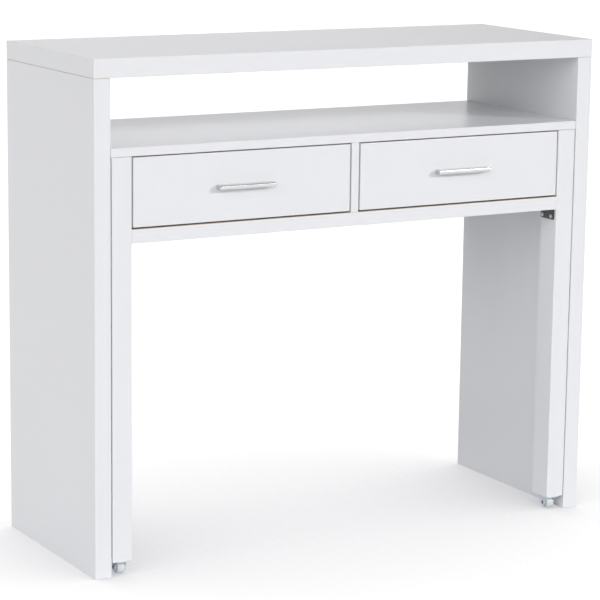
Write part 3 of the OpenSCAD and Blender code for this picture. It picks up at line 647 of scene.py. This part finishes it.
# %% Read the CAD screws
# head diameter: (head height, countersunk, shank diameter, pitch), all in millimetres
SCREW_KINDS = {
    8.0: (2.0, True, 4.0, 1.8),
    7.0: (1.75, True, 3.5, 1.5),
    6.65: (2.0, False, 3.5, 1.5),
    4.6: (1.6, False, 3.0, 1.3),
    7.5: (2.4, False, 3.5, 0.7),
}
HEAD_TOLERANCE = 0.08
END_RING = 0.1 * mm


def loose_solids(copy):
    solids, seen = [], set()
    for first in copy.verts:
        if first in seen:
            continue
        seen.add(first)
        solid = [first]
        for vertex in solid:
            near = [edge.other_vert(vertex) for edge in vertex.link_edges]
            fresh = [other for other in near if other not in seen]
            seen.update(fresh)
            solid.extend(fresh)
        solids.append(solid)
    return solids


def read_screw(solid):
    points = [vertex.co for vertex in solid]
    axis = min(range(3), key=lambda a: len({round(point[a] / mm, 1) for point in points}))
    low = Vector([min(point[a] for point in points) for a in range(3)])
    high = Vector([max(point[a] for point in points) for a in range(3)])
    centre = (low + high) / 2
    across = max(high[a] - low[a] for a in range(3) if a != axis) / mm
    kind = min(SCREW_KINDS, key=lambda head: abs(head - across))
    if abs(kind - across) > HEAD_TOLERANCE:
        return None

    def width_at(stop):
        spokes = [point - centre for point in points if abs(point[axis] - stop) < END_RING]
        return max(spoke.length_squared - spoke[axis] ** 2 for spoke in spokes)

    head_is_low = width_at(low[axis]) > width_at(high[axis])
    way, face = Vector((0, 0, 0)), centre.copy()
    way[axis] = 1 if head_is_low else -1
    face[axis] = low[axis] if head_is_low else high[axis]
    height, sunk = SCREW_KINDS[kind][:2]
    length = (high - low)[axis] - (0 if sunk else height * mm)
    return kind, round(length / mm, 1), face if sunk else face + way * height * mm, way


print(len(SCREW_KINDS), "kinds of screw")

# %% [markdown]
# ## Drive the screws
# Screws of one kind and length share a start mesh with one vertex for each of them. The tree grows them all
# at once, and the result takes the place of the plain solids in its node.

# %% Drive the screws
def start_points(places):
    mesh = bpy.data.meshes.new("screw places")
    mesh.from_pydata([place for place, way in places], [], [])
    axis = mesh.attributes.new("axis", "FLOAT_VECTOR", "POINT")
    for entry, (place, way) in zip(axis.data, places):
        entry.vector = way
    return mesh


def set_screws(node):
    copy, groups = sound_copy(node), {}
    for solid in loose_solids(copy):
        screw = read_screw(solid)
        if screw:
            groups.setdefault(screw[:2], []).append(screw[2:])
            bmesh.ops.delete(copy, geom=solid, context="VERTS")
    for (kind, length), places in groups.items():
        height, sunk, shank, pitch = SCREW_KINDS[kind]
        grown = grow(screw_tree, start_points(places), {
            "Head diameter": kind * mm, "Head height": height * mm, "Countersunk": sunk,
            "Shank diameter": shank * mm, "Length": length * mm, "Pitch": pitch * mm, "Finish": screw_steel,
        })
        copy.from_mesh(grown)
    mesh = mesh_of(copy, node)
    add_piece(node + "_driven", mesh, node, screw_steel)
    return sum(len(places) for places in groups.values()), len(mesh.polygons)


screwed = [name for name in nodes if slot_of[name] == "fixing" and name != "cam_fittings"]
for name in screwed:
    print(name, *set_screws(name), sep=", ")

# %% [markdown]
# ## Turned parts
# A wheel and a rivet are each one outline turned round the axle. The tree lays a grid, reads the outline's
# points from the start mesh by their number and bends the grid round the axle, which keeps every corner of
# the outline exact. An outline is a list of points, each with its distance along the axle and its radius.

# %% Turning tree
SEAM = 0.002 * mm


def make_turning_tree():
    tree, size = start_tree("turned part", {
        "Sides": "Int", "Outline points": "Int", "Axle": "Vector", "Finish": "Material",
    })
    grid = add(tree, "GeometryNodeMeshGrid", {
        "Size X": 1.0, "Size Y": 1.0, "Vertices X": maths(tree, "ADD", size["Sides"], 1.0),
        "Vertices Y": size["Outline points"],
    }).outputs
    spread = add(tree, "ShaderNodeSeparateXYZ", {0: grid["UV Map"]}).outputs
    angle = maths(tree, "MULTIPLY", spread["X"], -2 * math.pi)
    number = maths(tree, "MULTIPLY", spread["Y"], maths(tree, "SUBTRACT", size["Outline points"], 1.0))
    outline = add(tree, "GeometryNodeSampleIndex", {
        "Geometry": size["Geometry"], "Value": add(tree, "GeometryNodeInputPosition").outputs[0],
        "Index": maths(tree, "ROUND", number),
    }, data_type="FLOAT_VECTOR").outputs[0]
    point = add(tree, "ShaderNodeSeparateXYZ", {0: outline}).outputs
    along, radius = point["X"], point["Z"]
    place = add(tree, "ShaderNodeCombineXYZ", {
        "X": along, "Y": maths(tree, "MULTIPLY", radius, maths(tree, "COSINE", angle)),
        "Z": maths(tree, "MULTIPLY", radius, maths(tree, "SINE", angle)),
    }).outputs[0]
    bent = add(tree, "GeometryNodeSetPosition", {"Geometry": grid["Mesh"], "Position": place})
    closed = add(tree, "GeometryNodeMergeByDistance", {"Geometry": bent.outputs[0], "Distance": SEAM})
    set_down = add(tree, "GeometryNodeTransform", {
        "Geometry": closed.outputs[0], "Translation": size["Axle"],
    })
    end_tree(tree, set_down.outputs[0], size["Finish"])
    return tree


turning_tree = make_turning_tree()
print(len(turning_tree.nodes), "nodes turn an outline")


def turn_outline(points, axle, finish, sides):
    start = bpy.data.meshes.new("outline")
    start.from_pydata([(along * mm, 0, radius * mm) for along, radius in points], [], [])
    return grow(turning_tree, start, {
        "Sides": sides, "Outline points": len(points), "Axle": tuple(axle), "Finish": finish,
    })


def mirrored(half):
    return half + [(-along, radius) for along, radius in reversed(half)]


def axle_of(wheel):
    low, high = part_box(wheel)
    return (low + high) / 2


# %% [markdown]
# ## Caster wheels
# The wheel is moulded in one piece: a raised hub round the bore, a dished face, a thin raised rim and round
# shoulders. The tread is crowned by 0.3 mm and has the mould's parting line in its middle.

# %% Wheels
WHEEL_SIDES = 64
# millimetres, from the wheel's middle or from its axis
WHEEL_HALF, WHEEL_RADIUS, BORE = 7.5, 11.0, 2.6
BORE_CHAMFER, HUB_RADIUS, HUB_EDGE = 0.3, 4.2, 0.4
BORE_REACH = 2.6
FACE_DISH, DISH_FROM = 1.2, 4.9
SHOULDER, CROWN = 2.4, 0.3
RIM_BEHIND_HUB = 0.2
# from the dish up to the rim: how far behind the hub's face, and how far below the shoulder's middle
RIM_SLOPE = [(FACE_DISH, 1.0), (0.5, 0.55), (0.25, 0.2)]
# from the shoulder to the parting line: from the wheel's middle, and below its largest radius
TREAD = [(2.4, 0.06), (0.5, 0.0), (0.12, 0.05)]


def arc_points(along, radius, size, first, last, steps=8):
    turns = [math.radians(first + (last - first) * step / steps) for step in range(steps + 1)]
    return [(along + size * math.cos(turn), radius + size * math.sin(turn)) for turn in turns]


def wheel_outline():
    rim = WHEEL_RADIUS - CROWN - SHOULDER
    bore = [(WHEEL_HALF - BORE_REACH, BORE), (WHEEL_HALF - BORE_CHAMFER, BORE)]
    chamfer = [(WHEEL_HALF, BORE + BORE_CHAMFER)]
    hub = arc_points(WHEEL_HALF - HUB_EDGE, HUB_RADIUS, HUB_EDGE, 0, 80, 4)
    dish = [(WHEEL_HALF - FACE_DISH, DISH_FROM)]
    slope = [(WHEEL_HALF - behind, rim - below) for behind, below in RIM_SLOPE]
    shoulder = arc_points(WHEEL_HALF - RIM_BEHIND_HUB - SHOULDER, rim, SHOULDER, 0, 90)
    tread = [(along, WHEEL_RADIUS - below) for along, below in TREAD]
    return mirrored(bore + chamfer + hub + dish + slope + shoulder + tread) + bore[:1]


WHEELS = [name for name in nodes if slot_of[name] == "wheel"]
for name in WHEELS:
    wheel = turn_outline(wheel_outline(), axle_of(name), wheel_plastic, WHEEL_SIDES)
    add_piece(name + "_moulded", wheel, name)
print(len(WHEELS), "wheels,", len(wheel.polygons), "faces each")

# %% [markdown]
# ## Axle rivets
# A hollow rivet holds each wheel in its fork. Its end is rolled outwards to a rim round a shallow groove,
# and the groove's faces get a near-black second material as painted shade. Both rivets are one node.

# %% Rivets
RIVET_SIDES = 48
# millimetres: the fork's outer face from the wheel's middle, and the groove's inner and outer radius
RIVET_FACE = 10.0
GROOVE_FROM, GROOVE_TO = 1.0, 3.0
RIVET_OUTLINE = mirrored([
    (11.2, 0.0), (11.15, 0.5), (11.0, 0.9), (10.6, 1.15), (10.3, 1.3), (10.25, 2.6), (10.5, 2.85),
    (10.9, 3.0), (11.0, 3.15), (10.85, 3.35), (10.5, 3.47), (RIVET_FACE, 3.5), (RIVET_FACE, 1.9),
    (8.3, 1.9), (8.2, 2.4),
])
# painted shade: near-black faces stand in for the shadow down in the rivet's groove
groove_shade = start_material(
    "rivet groove painted shade", Base_Color=(0.04, 0.045, 0.05, 1), Metallic=0.3, Roughness=0.6)[0]


# gives the groove's faces the painted shade
def mark_groove(rivet, axle):
    rivet.materials.append(groove_shade)
    for face in rivet.polygons:
        radius = (face.center - axle).yz.length / mm
        is_outside = abs(face.center.x - axle.x) > RIVET_FACE * mm
        face.material_index = 1 if is_outside and GROOVE_FROM < radius < GROOVE_TO else 0


def finish_rivets():
    both = bmesh.new()
    for name in WHEELS:
        axle = axle_of(name)
        rivet = turn_outline(RIVET_OUTLINE, axle, caster_steel, RIVET_SIDES)
        mark_groove(rivet, axle)
        both.from_mesh(rivet)
    return add_piece(AXLES + "_rolled", mesh_of(both, AXLES), AXLES, caster_steel, groove_shade)


print(len(finish_rivets().data.polygons), "faces in the rivets")

# %% [markdown]
# ## Studio
# The desk stands on a white sweep. A white object on a white ground needs light that differs from side to
# side, or its faces melt together: the left side and the front get the most, the back gets less, and the
# right side and straight above get next to none. The light is painted on the surround in three rings of
# soft light, one above the other, instead of being lamps: the far floor then gets the same light as the
# near floor and no lamp shows up in any view. The strengths weren't chosen by eye: a separate program fitted
# them by least squares to the tones of the photograph's faces, and nine were then lowered by hand.
# A small, strong panel on the front right, 20 degrees above the floor, is the only hard light; it draws the
# crisp shadow of each handle on its drawer front.

# %% Rings of light
FROM_EVERYWHERE = 0.1
# ring: (lowest, highest height angle, fitted strengths at even steps, from the front round to the right)
LIGHT_RINGS = {
    "low": (-3, 10, (0.85, 0.96, 0, 0, 0, 0.50, 0.53, 0, 0, 1.72, 0.14, 0)),
    "middle": (10, 25, (2.65, 1.10, 0, 0, 0, 1.95, 2.25, 0.23, 0, 2.60, 2.80, 2.25)),
    "high": (25, 45, (0.30, 0, 0, 0, 0, 0, 1.80, 1.89)),
}
# compass angle from the front to the right, height angle, half width, strength
KEY_PANEL = (40, 20, 3.5, 95)
RING_EDGE, PANEL_EDGE = 6, 1


def soft_window(tree, value, outside, inside):
    return add(tree, "ShaderNodeMapRange", {
        "Value": value, "From Min": outside, "From Max": inside,
    }, interpolation_type="SMOOTHSTEP").outputs["Result"]


def ring_of_light(tree, compass, height, lowest, highest, strengths):
    peak = max(strengths)
    ramp = add(tree, "ShaderNodeValToRGB", {0: compass})
    stops = ramp.color_ramp.elements
    while len(stops) < len(strengths) + 1:
        stops.new(0.5)
    for number, stop in enumerate(stops):
        stop.position = number / len(strengths)
        stop.color = (strengths[number % len(strengths)] / peak,) * 3 + (1,)
    low_edge, high_edge = (
        soft_window(tree, height, math.sin(math.radians(a)), math.sin(math.radians(b)))
        for a, b in ((lowest - RING_EDGE, lowest + RING_EDGE), (highest + RING_EDGE, highest - RING_EDGE)))
    window = maths(tree, "MULTIPLY", low_edge, high_edge)
    return maths(tree, "MULTIPLY", maths(tree, "MULTIPLY", ramp.outputs[0], peak), window)


def key_light(tree, direction, compass, height, half_width, strength):
    turn, rise = math.radians(compass), math.radians(height)
    towards = (math.sin(turn) * math.cos(rise), -math.cos(turn) * math.cos(rise), math.sin(rise))
    facing = add(tree, "ShaderNodeVectorMath", {0: direction, 1: towards}, operation="DOT_PRODUCT")
    outside, inside = (
        math.cos(math.radians(half_width + edge)) for edge in (PANEL_EDGE, -PANEL_EDGE))
    return maths(tree, "MULTIPLY", soft_window(tree, facing.outputs["Value"], outside, inside), strength)


print(len(LIGHT_RINGS), "rings of light")

# %% [markdown]
# ## Surround
# The world shader turns each direction into a compass angle and a height, adds up the rings and the panel,
# and gives them a hair of blue. The camera itself sees plain white, as behind a product photograph.

# %% Surround
LIGHT_COLOUR = (0.987, 0.984, 1.0, 1)
BACKDROP = (1, 1, 1, 1)


def make_surround():
    world = bpy.data.worlds.new("surround")
    world.use_nodes = True
    tree = world.node_tree
    direction = add(tree, "ShaderNodeTexCoord").outputs["Generated"]
    x, y, height = add(tree, "ShaderNodeSeparateXYZ", {0: direction}).outputs
    turn = maths(tree, "ARCTAN2", x, maths(tree, "MULTIPLY", y, -1.0))
    compass = maths(tree, "FRACT", maths(tree, "ADD", maths(tree, "DIVIDE", turn, 2 * math.pi), 1.0))
    soft = FROM_EVERYWHERE
    for ring in LIGHT_RINGS.values():
        soft = maths(tree, "ADD", soft, ring_of_light(tree, compass, height, *ring))
    lighting = tree.nodes["Background"]
    lighting.inputs["Color"].default_value = LIGHT_COLOUR
    tree.links.new(
        maths(tree, "ADD", soft, key_light(tree, direction, *KEY_PANEL)), lighting.inputs["Strength"])
    seen = add(tree, "ShaderNodeBackground", {"Color": BACKDROP, "Strength": 1.0})
    path = add(tree, "ShaderNodeLightPath")
    mix = add(tree, "ShaderNodeMixShader", {0: path.outputs["Is Camera Ray"]})
    tree.links.new(lighting.outputs[0], mix.inputs[1])
    tree.links.new(seen.outputs[0], mix.inputs[2])
    tree.links.new(mix.outputs[0], tree.nodes["World Output"].inputs["Surface"])
    bpy.context.scene.world = world


make_surround()
bpy.context.scene.view_settings.view_transform = "Standard"
print("key panel at compass", KEY_PANEL[0], "and height", KEY_PANEL[1], "degrees")

# %% [markdown]
# ## Floor
# The floor is a matt white sheet, wide enough to fill the picture behind the desk too. A photographer
# lights the sweep until the open floor burns out to white, and only the ground near the desk keeps a shade.
# Here that look is painted: the camera, and polished metal too, see the floor glow by how much open sky each
# spot has, a little over white in the open, with a painted shadow near the desk. Every other ray still meets
# plain matt white, so the boards get honest light from below.

# %% Floor
# painted floor glow: a little over white in the open, and a painted shadow where the desk hides the sky
OPEN_FLOOR_GLOW = (1.145, 1.145, 1.145, 1)
PAINTED_FLOOR_SHADE = (0.435, 0.435, 0.470, 1)
SHADE_REACH = 3.0
FLOOR_HALF = 30.0
GRIT_SCALE = 40.0
GRIT_DARK, GRIT_LIGHT = (0.90, 0.905, 0.91, 1), (0.92, 0.925, 0.93, 1)


def floor_finish():
    material, tree, shader = start_material("white sweep", Roughness=0.9, Specular_IOR_Level=0.1)
    grit = noise(tree, GRIT_SCALE, detail=2.0)
    wire(tree, shader, Base_Color=mix_colours(tree, grit, GRIT_DARK, GRIT_LIGHT))
    # painted shadow: ambient occlusion darkens the floor's glow near the desk
    shade = add(tree, "ShaderNodeAmbientOcclusion", {"Distance": SHADE_REACH}, samples=8)
    seen = add(tree, "ShaderNodeEmission", {
        "Color": mix_colours(tree, shade.outputs["AO"], PAINTED_FLOOR_SHADE, OPEN_FLOOR_GLOW), "Strength": 1.0,
    })
    path = add(tree, "ShaderNodeLightPath").outputs
    sharp_view = maths(tree, "MAXIMUM", path["Is Camera Ray"], path["Is Glossy Ray"])
    mix = add(tree, "ShaderNodeMixShader", {0: sharp_view})
    tree.links.new(shader.outputs[0], mix.inputs[1])
    tree.links.new(seen.outputs[0], mix.inputs[2])
    tree.links.new(mix.outputs[0], tree.nodes["Material Output"].inputs["Surface"])
    return material


def make_floor(half):
    mesh = bpy.data.meshes.new("floor")
    corners = [(-half, -half, 0), (half, -half, 0), (half, half, 0), (-half, half, 0)]
    mesh.from_pydata(corners, [], [(0, 1, 2, 3)])
    mesh.materials.append(floor_finish())
    floor = bpy.data.objects.new("floor", mesh)
    bpy.context.scene.collection.objects.link(floor)


make_floor(FLOOR_HALF)
print("floor", 2 * FLOOR_HALF, "m wide")
